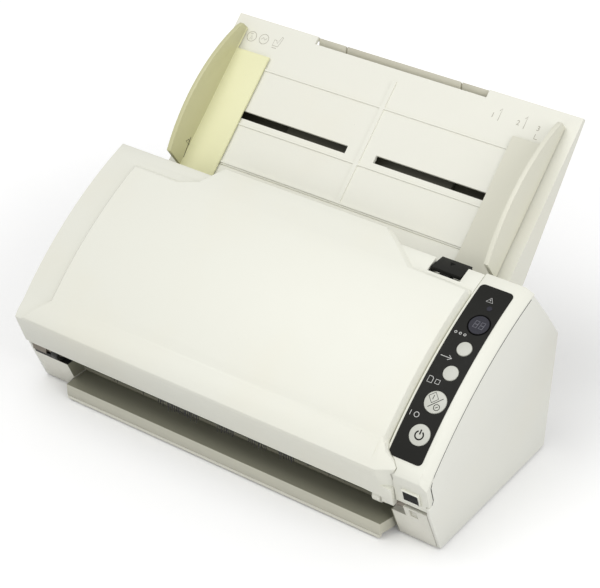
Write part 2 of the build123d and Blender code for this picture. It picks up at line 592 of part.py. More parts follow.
def rear_cover():
    """The back of the body: rear wall, slope under the chute with pockets for lugs, vents, socket holes."""
    outer = [(75.0, FOOT_HEIGHT), (78.6, 43.4), (81.5, 81.4), (65.3, 103.2), on_path(-5.0, -1.0),
             on_path(-7.4, -1.0), (62.9, 102.0), (79.2, 80.7), (76.4, 43.4), (73.2, FOOT_HEIGHT)]
    cover = prism((WALL - HALF_WIDTH, HALF_WIDTH - WALL), outer)
    for x in (-98, 98):
        cover -= path_block((x - 6.6, x + 6.6), (-18, 0), (-14.6, -9.4))
    for row in range(5):
        for column in range(12):
            x = -60 + column * 11
            cover -= block((x, x + 7), (70, 90), (52 + row * 4, 54 + row * 4))
    cover -= rod_y(95, 30, 4.2)
    cover -= block((60, 73), (70, 90), (24.5, 36))
    cover -= block((-96, -89), (70, 90), (28, 31))
    return cover


def rod_y(x, z, radius):
    """A round bar along Y through the rear wall."""
    return Pos(x, 78, z) * Rot(90, 0, 0) * Cylinder(radius, 14)


def paper_chute():
    """The upright paper rest: panel, side flanges, slots for the side guides, notch and lugs."""
    panel = path_block((-CHUTE_HALF, CHUTE_HALF), (CHUTE_SEAT, CHUTE_TOP), (-CHUTE_SKIN, 0))
    side = [on_path(CHUTE_SEAT, 0), on_path(CHUTE_TOP, 0), on_path(CHUTE_TOP, -3), on_path(9, -FLANGE_DEPTH),
            on_path(CHUTE_SEAT, -FLANGE_DEPTH)]
    chute = panel + prism((-CHUTE_HALF, -CHUTE_HALF + CHUTE_SKIN), side)
    chute += prism((CHUTE_HALF - CHUTE_SKIN, CHUTE_HALF), side)
    chute += path_block((-CHUTE_HALF, CHUTE_HALF), (CHUTE_SEAT, CHUTE_SEAT + CHUTE_SKIN), (-FLANGE_DEPTH, 0))
    chute += path_block((-CHUTE_HALF, CHUTE_HALF), (CHUTE_TOP - CHUTE_SKIN, CHUTE_TOP), (-3, 0))
    chute -= path_block(NOTCH[:2], (NOTCH[2], CHUTE_TOP + 1), (-4, 1))
    for sign in (-1, 1):
        slot = sorted((sign * SLOT_X[0], sign * SLOT_X[1]))
        chute -= path_block(slot, SLOT_V, (-4, 1))
        lug = sorted((sign * 92, sign * 104))
        chute += path_block(lug, (-15, CHUTE_SEAT + 1), (-14, -10))
        rail = sorted((sign * 62.2, sign * 66))
        lip = sorted((sign * 58, sign * 66))
        chute += path_block(rail, (64, 100), (-14, -1)) + path_block(lip, (64, 100), (-14, -12.4))
        chute += path_block(rail, (59, 63), (-13.6, -1))
    for v in (77.9, 38.9, 12.0):
        chute += path_block((-97, 95), (v - 0.6, v + 0.6), (-0.2, RIB_HEIGHT))
    chute -= path_block((-92, 92), (9.4, 10.4), (-0.8, 1))
    chute += path_block((-1.5, 1.5), (12.0, 96.5), (-0.2, RIB_HEIGHT))
    chute += PATH.location * Pos(0, GUIDE_PINION_V, -5.8) * Cylinder(STUD_RADIUS, 8.0)
    return chute


def chute_extension():
    """The slide behind the chute that holds long sheets, with the cap that fills the notch."""
    plate = path_block((-61.5, 61.5), (24, 106), (-12, -10.2))
    outline = [on_path(100.8, -12), on_path(100.8, -8.2), on_path(CHUTE_TOP - 0.4, -0.8),
               on_path(CHUTE_TOP - 0.4, -12)]
    cap = prism((NOTCH[0] + 0.6, NOTCH[1] - 0.6), outline)
    for x in (-43, 42):
        cap -= path_block((x - 0.6, x + 0.6), (100, 112), (-7.5, 0))
    return plate + cap


def chute_back_cover():
    """The plate behind the chute that closes in the guide racks."""
    cover = path_block((-117.5, 117.5), (5, 62.5), (-15.6, -14.2))
    cover += path_block((-117.5, 117.5), (5, 9), (-14.2, -CHUTE_SKIN))
    for sign in (-1, 1):
        end = sorted((sign * 116.1, sign * 117.5))
        top = sorted((sign * 70, sign * 117.5))
        cover += path_block(end, (5, 62.5), (-14.4, -CHUTE_SKIN - 0.2))
        cover += path_block(top, (61.1, 62.5), (-14.4, -CHUTE_SKIN - 0.2))
    return cover


def side_guide(sign):
    """A side guide: base plate, curved upright fin, and the neck and rack behind the chute."""
    base_x = sorted((sign * GUIDE_INNER, sign * GUIDE_OUTER))
    fin_x = sorted((sign * GUIDE_FACE, sign * GUIDE_OUTER))
    guide = path_block(base_x, (-4.0, GUIDE_TOP), (GUIDE_LIFT, GUIDE_LIFT + 1.3))
    low, high, end = on_path(3.0, 18.8), on_path(37.0, FIN_HEIGHT), on_path(98.5, 9.8)
    foot = on_path(0.5, GUIDE_LIFT)
    top = on_path(FIN_TOP, GUIDE_LIFT)
    rear = on_path(FIN_TOP, 7.5)
    outline = [Polyline(top, foot, low), ThreePointArc(low, high, end), Polyline(end, rear, top)]
    face = Plane.YZ.offset(fin_x[0]) * make_face(outline)
    guide += extrude(face, fin_x[1] - fin_x[0])
    neck_x = sorted((sign * 99, sign * 112))
    rack_x = sorted((-sign * 7, sign * 112))
    near = GUIDE_PINION_V - sign * MODULE * GUIDE_PINION / 2
    far = near - sign * 4.5
    rack_n = (RACK_N, RACK_N + RACK_THICKNESS)
    guide += path_block(neck_x, (43.5, 47.5), (RACK_N, GUIDE_LIFT + 0.3))
    guide += path_block(neck_x, sorted((GUIDE_PINION_V, far)), rack_n)
    guide += path_block(rack_x, sorted((near - sign * 1.15 * MODULE, far)), rack_n)
    pitch = math.pi * MODULE
    for tooth in range(-2, 33):
        x = sign * (tooth + 0.5) * pitch
        tip = near + sign * 0.85 * MODULE
        root = near - sign * 1.2 * MODULE
        shape = Polyline((x - 0.29 * pitch, root), (x - 0.13 * pitch, tip), (x + 0.13 * pitch, tip),
                         (x + 0.29 * pitch, root), close=True)
        guide += extrude(PATH.offset(RACK_N) * make_face(shape), RACK_THICKNESS)
    return guide


def guide_pinion():
    """The pinion that makes the two side guides move together."""
    face = gear_face(GUIDE_PINION, math.pi / 2, STUD_RADIUS + RUNNING)
    return extrude(PATH.offset(RACK_N) * Pos(0, GUIDE_PINION_V) * face, RACK_THICKNESS)


def stacker_tray():
    """The tray under the body that catches the sheets, with a cut right front corner and two rails."""
    left, right = STACKER_X
    outline = Polyline((left, STACKER_FRONT), (116.8, STACKER_FRONT), (right, -45.0), (right, 60.0),
                       (left, 60.0), close=True)
    tray = extrude(Plane.XY.offset(STACKER_BOTTOM) * make_face(outline), STACKER_TOP - STACKER_BOTTOM)
    tray -= block((left + 2, right - 4.9), (STACKER_FRONT + WALL, 58.0), (3.0, STACKER_TOP - 1.8))
    for sign in (-1, 1):
        rail = sorted((sign * 80.4, sign * 84.4))
        groove = sorted((sign * 80.0, sign * 82.5))
        tray += block(rail, (-53, 56), (1.4, STACKER_TOP - 1))
        tray -= block(groove, (-60, 60), (1.8, 3.2))
    return tray


def stacker_extension():
    """The thin slide under the stacker tray, held by a tongue on each side."""
    slide = block((-80, 80), (STACKER_FRONT + 1.2, 50), (1.4, 3.5)) + block((-80, 80), (48, 50), (1.4, 9.6))
    slide += block((STACKER_X[0] + 0.3, 116.6), (STACKER_FRONT, STACKER_FRONT + 2.6), (1.4, 3.6))
    return slide + block((-82.1, 82.1), (-50, 50), (2.1, 2.9))


def scan_unit(v, n, side):
    """The housing of a contact image sensor across the paper path, open on the side that holds its glass."""
    unit = path_block((-SCAN_HALF, SCAN_HALF), v, n)
    inside = (n[0] + 3, n[1] + 1) if side > 0 else (n[0] - 1, n[1] - 3)
    return unit - path_block((3 - SCAN_HALF, SCAN_HALF - 3), (v[0] + 2, v[1] - 2), inside)


def shaft(centre):
    """A driven steel shaft between the bearing walls."""
    return rod(SHAFT_X, centre, SHAFT_RADIUS)


def idler_set(centre):
    """Idler rollers with the shaft moulded in one piece."""
    rollers = [rod((x - 8, x + 8), centre, IDLER_RADIUS) for x in ROLLER_PLACES]
    return rod((-99.5, 99.5), centre, IDLER_SHAFT) + rollers


def motor_pinion():
    """The motor's shaft with its pinion."""
    return rod((-131.0, -112.0), MOTOR, MOTOR_SHAFT) + gear(MOTOR, PINION, MOTOR_PHASE, MOTOR_SHAFT - 0.1)


def drive_motor():
    """The stepping motor with its mounting flange on the bearing wall."""
    y, z = MOTOR
    body = rod((-118.0, -88.0), MOTOR, MOTOR_RADIUS)
    body += block((-119.8, -118.0), (y - 22, y + 22), (z - 8, z + 8))
    return body - rod((-121, -100), MOTOR, MOTOR_SHAFT + RUNNING)


def main_board():
    """The circuit board behind the lower guide, with its larger components."""
    board = block((-105, 112), (64.0, 65.6), (18.0, 78.0))
    chips = ((-60, 50, 22, 22), (-10, 46, 16, 16), (40, 60, 30, 12), (30, 30, 12, 12), (-85, 66, 14, 10))
    for x, z, width, height in chips:
        board += block((x - width / 2, x + width / 2), (61.2, 64.1), (z - height / 2, z + height / 2))
    return board


def power_socket():
    """The round inlet for the power adapter, on the board behind the rear wall."""
    return rod_y_between(95, 30, 4.0, 65.6, 78.2) - rod_y_between(95, 30, 2.8, 68.0, 80.0)


def rod_y_between(x, z, radius, y0, y1):
    """A round bar along Y between two places."""
    return Pos(x, (y0 + y1) / 2, z) * Rot(90, 0, 0) * Cylinder(radius, y1 - y0)


def data_socket():
    """The square socket for the computer cable."""
    socket = block((60.4, 72.6), (65.6, 78.0), (24.8, 35.6))
    socket -= block((62.0, 71.0), (68.0, 80.0), (26.4, 34.0))
    return socket + block((64.5, 68.5), (67.0, 70.0), (28.6, 31.8))


def button_board():
    """The small circuit board under the panel with one switch below each button."""
    plane = skin_plane(BUTTON_X, -15.0, PANEL_DROP)
    board = plane.location * Pos(0, 0, -19.0) * Box(20, 100, 1.4)
    for y, _ in BUTTONS.values():
        place = skin_plane(BUTTON_X, y, PANEL_DROP)
        board += place.location * Pos(0, 0, -15.5) * Box(6, 6, 7.6)
    return board


def nose_plane(z, out):
    """A plane on the front face at the height z, facing out."""
    rise = NOSE[1] - PANEL_DROP / 2 - PANEL_LIP[1]
    lean = NOSE[0] - PANEL_LIP[0]
    y = PANEL_LIP[0] + 0.6 + (z - PANEL_LIP[1]) / rise * lean
    normal = Vector(0, -rise, lean).normalized()
    return Plane(origin=Vector(139.2, y, z) + normal * out, x_dir=(1, 0, 0), z_dir=normal)


def window_frame():
    """The raised frame of the small window under the control panel."""
    place = nose_plane(WINDOW_Z, 0.5).location
    return place * Box(*WINDOW_FRAME, 1.8) - place * Box(*WINDOW_PANE, 4)


def front_window():
    """The dark pane in the frame."""
    return nose_plane(WINDOW_Z, 0.0).location * Box(*WINDOW_PANE, 2.0)


def hinge_pins():
    """The two steel pins that the front cover turns on, the left one with its flat retaining plate."""
    plate = block((-147.4, -136.4), (-57.4, -54.4), (29.2, 35.0))
    return rod((-146.5, -126.0), HINGE, HINGE_PIN) + plate + rod((111.0, 141.0), HINGE, HINGE_PIN)


def striker_pins():
    """The two pins that the latch hooks hold."""
    return rod((-146.0, -135.6), STRIKER, STRIKER_RADIUS) + rod((108.6, 121.8), STRIKER, STRIKER_RADIUS)


def rubber_feet():
    """Four feet under the chassis."""
    places = [(x, y) for x in (-140, 136) for y in (-34, 62)]
    return Compound([Pos(x, y, FOOT_HEIGHT / 2) * Cylinder(7, FOOT_HEIGHT) for x, y in places])


def rear_screws():
    """The screws that hold the rear cover, with their cross recesses."""
    screws = []
    for x in (-138, 138):
        for z in (14, 66):
            y = 73.2 + 0.088 * z
            head = rod_y_between(x, z, 3.0, y + 1.9, y + 3.5)
            for half_x, half_z in ((2, 0.4), (0.4, 2)):
                head -= block((x - half_x, x + half_x), (y + 3, y + 5), (z - half_z, z + half_z))
            screws.append(head)
    return Compound(screws)


def drive_nodes():
    """The rollers, shafts and gears of the paper feed."""
    return {
        "pick_shaft": shaft(PICK),
        "pick_roller": roller_set((-11, 11), 9, PICK, PICK_RADIUS, SHAFT_RADIUS),
        "pick_gear": gear(PICK, SHAFT_GEAR, PICK_PHASE, SHAFT_RADIUS),
        "pick_idler_gear": gear(PICK_IDLER_AT, PICK_IDLER, PICK_IDLER_PHASE, STUD_RADIUS + RUNNING),
        "feed_shaft": shaft(FEED),
        "feed_rollers": roller_set(ROLLER_PLACES, 8.5, FEED, FEED_RADIUS, SHAFT_RADIUS),
        "feed_gear": gear(FEED, SHAFT_GEAR, FEED_PHASE, SHAFT_RADIUS),
        "eject_shaft": shaft(EJECT),
        "eject_rollers": roller_set(ROLLER_PLACES, 8.5, EJECT, FEED_RADIUS, SHAFT_RADIUS),
        "eject_gear": gear(EJECT, SHAFT_GEAR, EJECT_PHASE, SHAFT_RADIUS),
        "upper_train_gear": gear(TRAIN_UPPER, TRAIN_IDLER, UPPER_PHASE, STUD_RADIUS + RUNNING),
        "middle_train_gear": gear(TRAIN_MIDDLE, TRAIN_IDLER, MIDDLE_PHASE, STUD_RADIUS + RUNNING),
        "lower_train_gear": gear(TRAIN_LOWER, TRAIN_IDLER, LOWER_PHASE, STUD_RADIUS + RUNNING),
        "motor_pinion": motor_pinion(),
        "brake_roller": tube((-22, 22), BRAKE, BRAKE_RADIUS, BRAKE_SHAFT),
        "brake_shaft": rod((-33, 33), BRAKE, BRAKE_SHAFT),
        "feed_idlers": idler_set(FEED_IDLER),
        "eject_idlers": idler_set(EJECT_IDLER),
    }


def body_nodes():
    """The chassis, its covers, the control panel and what the body holds."""
    return {
        "chassis": chassis(),
        "left_side_cover": left_side_cover(),
        "right_side_cover": right_side_cover(),
        "rear_cover": rear_cover(),
        "control_panel_cover": control_panel_cover(),
        "panel_overlay": panel_overlay(),
        "display_window": display_window(),
        "check_lamp": check_lamp(),
        "window_frame": window_frame(),
        "front_window": front_window(),
        "lower_guide": lower_guide(),
        "lower_scan_unit": scan_unit(LOWER_SCAN_V, (-16.5, -2.9), 1),
        "lower_scan_glass": path_block((-SCAN_HALF, SCAN_HALF), LOWER_SCAN_V, (-2.8, -0.7)),
        "drive_motor": drive_motor(),
        "main_board": main_board(),
        "power_socket": power_socket(),
        "data_socket": data_socket(),
        "button_board": button_board(),
        "hinge_pins": hinge_pins(),
        "striker_pins": striker_pins(),
        "rubber_feet": rubber_feet(),
        "rear_screws": rear_screws(),
    }


def cover_nodes():
    """The front cover, what it carries and its latch."""
    return {
        "front_cover": front_cover(),
        "inner_cover": inner_cover(),
        "upper_scan_unit": scan_unit(UPPER_SCAN_V, (4.1, 17.0), -1),
        "upper_scan_glass": path_block((-109.8, 109.8), UPPER_SCAN_V, (1.9, 4.0)),
        "static_brush": static_brush(),
        "release_lever": release_lever(),
        "latch_hooks": latch_hooks(),
        "latch_shaft": rod((-141.5, 114.0), LATCH, LATCH_SHAFT),
    }


def chute_nodes():
    """The chute with its guides and extension, and the stacker."""
    return {
        "paper_chute": paper_chute(),
        "chute_extension": chute_extension(),
        "chute_back_cover": chute_back_cover(),
        "side_guide_left": side_guide(-1),
        "side_guide_right": side_guide(1),
        "guide_pinion": guide_pinion(),
        "stacker_tray": stacker_tray(),
        "stacker_extension": stacker_extension(),
    }


NODES = {**body_nodes(), **cover_nodes(), **chute_nodes(), **drive_nodes()}
for name, (y, radius) in BUTTONS.items():
    NODES[name] = button(y, radius)

os.makedirs("parts", exist_ok=True)
for name, shape in NODES.items():
    export_step(shape.moved(Location((0, BODY_SHIFT, 0))), f"parts/{name}.step")
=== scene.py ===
"""The looks of a desktop document scanner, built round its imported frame. Metres, +X right, +Y back, +Z up."""
import json
import math

import bpy
from mathutils import Matrix, Vector


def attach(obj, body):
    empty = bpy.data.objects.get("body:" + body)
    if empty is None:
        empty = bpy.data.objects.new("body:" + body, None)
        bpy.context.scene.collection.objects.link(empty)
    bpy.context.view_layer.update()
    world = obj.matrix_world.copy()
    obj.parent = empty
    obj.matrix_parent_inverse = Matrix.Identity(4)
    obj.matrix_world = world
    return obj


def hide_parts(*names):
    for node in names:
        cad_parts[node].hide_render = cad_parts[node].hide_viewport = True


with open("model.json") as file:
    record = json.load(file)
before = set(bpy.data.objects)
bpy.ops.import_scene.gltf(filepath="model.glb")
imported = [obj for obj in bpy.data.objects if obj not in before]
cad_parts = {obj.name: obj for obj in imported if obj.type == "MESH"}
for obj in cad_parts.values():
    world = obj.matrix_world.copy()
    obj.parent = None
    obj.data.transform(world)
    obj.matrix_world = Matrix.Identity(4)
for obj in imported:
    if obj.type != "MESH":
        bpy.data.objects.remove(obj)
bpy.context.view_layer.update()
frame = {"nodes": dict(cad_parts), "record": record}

MM = 0.001
NODES = frame["nodes"]
BODIES = frame["record"]["behaviour"]["bodies"]
BODY_OF = {node: body for body, members in BODIES.items() for node in members}
SLOT_OF = {part["node"]: part["material_slot"] for part in frame["record"]["subparts"]}

# The photo's camera: place in millimetres, turn and tilt in radians, focal length in pixels of the frame
CAMERA_PLACE = (585.05, -834.76, 740.73)
CAMERA_TURN = 0.618
CAMERA_TILT = 0.579
FOCAL_PIXELS = 1964.09
FRAME_WIDTH = 600
SENSOR = 36.0

# Measures in millimetres. Places along Y are those of the body's own drawing, and SHIFT takes them to the
# frame.
SHIFT = -39.45
# The curved skin of cover and panel: its axis in the Y-Z plane of the frame and its radius
SKIN_AXIS = (84.35, -109.3)
SKIN_RADIUS = 256.9
# The paper path: a point on it and its slope
PATH_POINT = (19.11, 118.46)
PATH_SLOPE = math.radians(42.7)
# The seam between panel and right side cover, where a strip of painted shadow lies in the gap: radius of its
# curve, steps along Y, corners under it, its place along X
SEAM_RADIUS = 247.5
SEAM_CURVE = range(44, -58, -3)
SEAM_CORNERS = [(-58.6, 54.5), (-55.3, 44.0), (-56.5, 41.1)]
SEAM_X = 150.42
# The label plate and the keys lie lower than the skin; the prints stand off what carries them by a little
PLATE_DROP = 3.1
KEY_DROP = 3.5
PLATE_PRINT = 0.05
KEY_PRINT = 0.92
DISPLAY_PRINT = 0.52
CHUTE_PRINT = 0.02
PRINT_THICKNESS = 0.12
TICK_WIDTH = 0.4
PICTOGRAM_WIDTH = 0.36
NUMERAL_SIZE = 4.6
BUTTON_X = 134.9
POWER_Y = -47.1
SCAN_Y = -31.5
DISPLAY_Y = 12.6
# Where painted shade starts: heights over the plane of the paper path, a length up the path, a height over the
# floor, the cover's left hinge eye and the foot's pocket for it (X, Y, Z), the chassis between its feet (X)
BACK_COVER_FACE = -14.9
EXTENSION_FACE = -11.9
EXTENSION_GRIP = 98.0
RACK_TOP = -1.0
FIN_FOOT = 2.6
TRAY_TOP = 11.8
HINGE_EYE = (-121.0, -59.0, 36.0)
FOOT_POCKET = (-120.9, -57.2, 25.1)
BETWEEN_FEET = (-121.7, 122.6)
# The brush: first and last strand of each tuft along X and its lowest tip; where the strands start and bend
TUFTS = ((-86.0, -76.0, 31.0), (-59.5, -57.7, 30.5), (-46.5, -40.9, 27.6), (-39.0, -27.6, 26.4),
         (-27.0, -14.8, 26.4), (-0.4, 11.3, 27.3), (22.4, 35.6, 27.8), (44.2, 55.8, 27.3),
         (63.6, 67.7, 30.2), (80.0, 92.0, 31.2))
STRAND_PITCH = 0.7
STRAND_WIDTH = 0.6
STRAND_TOP = 37.0
STRAND_BEND = 33.0
BRUSH_Y = -56.4

# Rounded copies: distance at which points are merged in metres, and angles in degrees
MERGE_DISTANCE = 2e-6
FLAT_ANGLE = 0.3
ROUNDED_ANGLE = 28.0
SMOOTH_ANGLE = 35.0

# Colours of the plastics, in linear light
SHELL_WHITE = (0.81, 0.81, 0.725)
SIDE_WHITE = (0.80, 0.80, 0.735)
FRAME_WHITE = (0.70, 0.69, 0.60)
FOOT_WHITE = (0.78, 0.77, 0.69)
CHUTE_WHITE = (0.79, 0.785, 0.70)
AGED_CREAM = (0.76, 0.75, 0.46)
# Painted shade: the left guide's fin, darker than its base as if its face lay in shade
FIN_PAINTED_SHADE = (0.56, 0.545, 0.32)
PALE_GUIDE = (0.72, 0.71, 0.60)
EXTENSION_TAN = (0.64, 0.62, 0.51)
YELLOWED = (0.80, 0.74, 0.56)
DUST_GREY = (0.42, 0.41, 0.38)
# Painted shade: the dark of the slots, on the back cover's inside, the extension's plate and the guides' racks
SLOT_PAINTED_SHADE = (0.12, 0.115, 0.08)
TRAY_WHITE = (0.56, 0.55, 0.46)
# Painted shade: the tray's top and the chassis between the feet, under the cover's lip
EXIT_PAINTED_SHADE = (0.26, 0.255, 0.19)
# Painted shade: the cover's hinge eye and the foot's pocket round it
POCKET_PAINTED_SHADE = (0.02, 0.02, 0.018)


class Link:
    """An output socket of a material's node, with the arithmetic that adds Math nodes."""

    def __init__(self, finish, socket):
        self.finish = finish
        self.socket = socket

    def __add__(self, other):
        return self.finish.math("ADD", self, other)

    def __radd__(self, other):
        return self.finish.math("ADD", other, self)

    def __sub__(self, other):
        return self.finish.math("SUBTRACT", self, other)

    def __rsub__(self, other):
        return self.finish.math("SUBTRACT", other, self)

    def __mul__(self, other):
        return self.finish.math("MULTIPLY", self, other)

    def __rmul__(self, other):
        return self.finish.math("MULTIPLY", other, self)

    def __gt__(self, other):
        return self.finish.math("GREATER_THAN", self, other)

    def __lt__(self, other):
        return self.finish.math("LESS_THAN", self, other)

    def smooth(self, low, high):
        """0 below low, 1 above high, smooth between."""
        limits = {"Value": self, "From Min": low, "From Max": high}
        return self.finish.node("MapRange", {"interpolation_type": "SMOOTHSTEP"}, limits)


class Finish:
    """A material in the making: node() adds any node, math() adds arithmetic."""

    def __init__(self, name):
        self.material = bpy.data.materials.new(name)
        self.material.use_nodes = True
        self.tree = self.material.node_tree
        self.surface = self.tree.nodes["Principled BSDF"]

    def feed(self, socket, value):
        """Gives an input socket a link or a value."""
        if isinstance(value, Link):
            self.tree.links.new(value.socket, socket)
        elif hasattr(value, "__len__") and len(value) == 3 and len(socket.default_value) == 4:
            socket.default_value = (*value, 1.0)
        else:
            socket.default_value = value

    def node(self, kind, settings=None, inputs=None, output=0):
        """Adds a node with its settings, then the values or links of its sockets."""
        node = self.tree.nodes.new("ShaderNode" + kind)
        for name, value in (settings or {}).items():
            setattr(node, name, value)
        for name, value in (inputs or {}).items():
            self.feed(node.inputs[name], value)
        return Link(self, node.outputs[output])

    def math(self, operation, *values):
        """Adds a Math node."""
        return self.node("Math", {"operation": operation}, dict(enumerate(values)))

    def blend(self, share, first, second):
        """A mix of two colours."""
        return self.node("Mix", {"data_type": "RGBA"}, {0: share, 6: first, 7: second}, output=2)

    def place(self):
        """The point on the piece, in metres."""
        return self.node("TexCoord", output=3)

    def along(self, axis):
        """The place along X, Y or Z (0, 1, 2), in millimetres."""
        return self.node("SeparateXYZ", {}, {"Vector": self.place()}, axis) * (1 / MM)

    def above_path(self):
        """The height over the plane of the paper path, in millimetres."""
        back = (self.along(1) - PATH_POINT[0]) * math.sin(PATH_SLOPE)
        return (self.along(2) - PATH_POINT[1]) * math.cos(PATH_SLOPE) - back

    def up_path(self):
        """The way up the paper path, in millimetres."""
        forward = (self.along(1) - PATH_POINT[0]) * math.cos(PATH_SLOPE)
        return (self.along(2) - PATH_POINT[1]) * math.sin(PATH_SLOPE) + forward

    def noise(self, size, detail=2.0, roughness=0.5):
        """Noise of about 0 to 1, whose features are about the given size in metres."""
        inputs = {"Vector": self.place(), "Scale": 1.0 / size, "Detail": detail, "Roughness": roughness}
        return self.node("TexNoise", {}, inputs)

    def cells(self, size):
        """The distance from the middle of random cells of the given size, in cell sizes."""
        return self.node("TexVoronoi", {}, {"Vector": self.place(), "Scale": 1.0 / size})

    def set(self, **inputs):
        """Sets the main shader's sockets; a name's underscores stand for spaces."""
        for name, value in inputs.items():
            self.feed(self.surface.inputs[name.replace("_", " ")], value)

    def bump(self, height, depth, strength):
        """Feeds the normal with a bump of the given depth in metres."""
        inputs = {"Height": height, "Distance": depth, "Strength": strength}
        self.set(Normal=self.node("Bump", {}, inputs))


def moulded_plastic(name, colour, gloss=0.42, yellow=0.15, parts=()):
    """Satin moulded plastic: fine spark-eroded grain, slow changes of tone, some yellowing and dust specks.

    Each of parts is a painted shade, a darker colour for a place that lies in shade, and a function that takes
    the finish and gives the share, 0 or 1, that has it.
    """
    finish = Finish(name)
    slow = finish.noise(0.07, 3.0)
    medium = finish.noise(0.012, 4.0)
    warm = finish.blend(slow.smooth(0.45, 0.75) * yellow, colour, YELLOWED)
    speck = (finish.cells(0.014) < 0.022) * finish.noise(0.05).smooth(0.5, 0.6)
    smudge = finish.noise(0.004, 5.0, 0.65).smooth(0.62, 0.8) * slow.smooth(0.5, 0.7)
    dust_and_painted_shade = finish.blend((speck * 0.5 + smudge * 0.08) * 0.5, warm, DUST_GREY)
    for other, share in parts:
        dust_and_painted_shade = finish.blend(share(finish), dust_and_painted_shade, other)
    finish.set(Base_Color=dust_and_painted_shade)
    finish.set(Roughness=gloss + (medium - 0.5) * 0.12 + smudge * 0.1)
    finish.set(Specular_IOR_Level=0.42)
    fine = finish.noise(0.00045, 2.0)
    finish.bump(fine + medium * 2.0, 0.00002, 0.6)
    return finish.material


def dark_plastic(name, colour, gloss=0.4, shine=0.3):
    """Dark plastic or film with a fine grain and a little dust."""
    finish = Finish(name)
    dust = finish.noise(0.0018, 5.0, 0.7).smooth(0.6, 0.85)
    finish.set(Base_Color=finish.blend(dust * 0.06, colour, (0.5, 0.5, 0.47)))
    finish.set(Roughness=gloss + (finish.noise(0.006, 3.0) - 0.5) * 0.15, Specular_IOR_Level=shine)
    finish.bump(finish.noise(0.0003, 2.0), 0.00002, 0.7)
    return finish.material


def turned_steel(name, colour, gloss=0.3):
    """Ground steel with fine lines round the shaft and a few dull patches."""
    finish = Finish(name)
    stretch = finish.node("Mapping", {}, {"Vector": finish.place(), "Scale": (4000.0, 60.0, 60.0)})
    lines = finish.node("TexNoise", {}, {"Vector": stretch, "Scale": 1.0, "Detail": 2.0})
    patch = finish.noise(0.009, 3.0).smooth(0.45, 0.75)
    finish.set(Base_Color=finish.blend(patch * 0.35, colour, (0.16, 0.14, 0.12)), Metallic=1.0)
    finish.set(Roughness=gloss + lines * 0.15 + patch * 0.2)
    finish.bump(lines, 0.00001, 0.5)
    return finish.material


def ribbed_rubber(name, colour):
    """Dull rubber with fine pores and paper dust on it."""
    finish = Finish(name)
    dust = finish.noise(0.003, 4.0, 0.7).smooth(0.5, 0.8)
    finish.set(Base_Color=finish.blend(dust * 0.25, colour, (0.45, 0.44, 0.42)))
    finish.set(Roughness=0.75 + dust * 0.15)
    finish.bump(finish.noise(0.0005, 3.0), 0.00006, 0.8)
    return finish.material


def clear_glass(name):
    """Flat cover glass over a dark scan unit."""
    finish = Finish(name)
    smear = finish.noise(0.01, 3.0).smooth(0.5, 0.8)
    finish.set(Base_Color=(0.82, 0.9, 0.88), Roughness=0.03 + smear * 0.06)
    finish.set(Transmission_Weight=0.9, IOR=1.5)
    return finish.material


def circuit_board(name):
    """Green solder mask with traces and lighter pads."""
    finish = Finish(name)
    pads = (finish.cells(0.0025) < 0.16)
    traces = finish.noise(0.004, 0.0).smooth(0.49, 0.5) * finish.noise(0.004, 0.0).smooth(0.53, 0.52)
    green = finish.blend(traces * 0.6, (0.02, 0.12, 0.045), (0.04, 0.2, 0.08))
    finish.set(Base_Color=finish.blend(pads, green, (0.55, 0.52, 0.42)), Roughness=0.35 - pads * 0.1)
    return finish.material


def fibre(name):
    """Matt black conductive fibre."""
    finish = Finish(name)
    finish.set(Base_Color=finish.blend(finish.noise(0.002), (0.015, 0.015, 0.015), (0.05, 0.048, 0.045)))
    finish.set(Roughness=0.7)
    return finish.material


def make_finishes():
    """Every material slot of the record, as a material."""
    return {
        "shell_white": moulded_plastic("shell_white", SHELL_WHITE),
        "side_white": moulded_plastic("side_white", SIDE_WHITE, yellow=0.1),
        "frame_white": moulded_plastic("frame_white", FRAME_WHITE, 0.48),
        "aged_cream": moulded_plastic("aged_cream", AGED_CREAM, 0.4, yellow=0.1),
        "chute_white": moulded_plastic("chute_white", CHUTE_WHITE, 0.45),
        "overlay_black": dark_plastic("overlay_black", (0.013, 0.013, 0.011), 0.5, shine=0.15),
        "button_grey": moulded_plastic("button_grey", (0.57, 0.575, 0.515), 0.38, yellow=0.0),
        "smoke_window": dark_plastic("smoke_window", (0.03, 0.03, 0.04), 0.3, shine=0.15),
        "window_white": moulded_plastic("window_white", SHELL_WHITE, 0.3, yellow=0.0),
        "lever_black": dark_plastic("lever_black", (0.016, 0.016, 0.014), 0.5, shine=0.15),
        "scan_black": dark_plastic("scan_black", (0.03, 0.03, 0.033), 0.5),
        "guide_dark": dark_plastic("guide_dark", (0.07, 0.07, 0.07), 0.4),
        "clear_glass": clear_glass("clear_glass"),
        "steel": turned_steel("steel", (0.56, 0.55, 0.53)),
        "dark_steel": turned_steel("dark_steel", (0.30, 0.27, 0.23), 0.35),
        "roller_rubber": ribbed_rubber("roller_rubber", (0.06, 0.06, 0.065)),
        "roller_grey": moulded_plastic("roller_grey", (0.5, 0.5, 0.49), 0.4, yellow=0.0),
        "gear_nylon": moulded_plastic("gear_nylon", (0.72, 0.70, 0.62), 0.4, yellow=0.1),
        "motor_metal": turned_steel("motor_metal", (0.5, 0.5, 0.5), 0.35),
        "board_green": circuit_board("board_green"),
        "socket_black": dark_plastic("socket_black", (0.02, 0.02, 0.02), 0.4),
        "socket_metal": turned_steel("socket_metal", (0.62, 0.62, 0.62), 0.25),
        "brush_black": fibre("brush_black"),
        "foot_rubber": ribbed_rubber("foot_rubber", (0.04, 0.04, 0.04)),
        "screw_steel": turned_steel("screw_steel", (0.5, 0.5, 0.5), 0.3),
    }


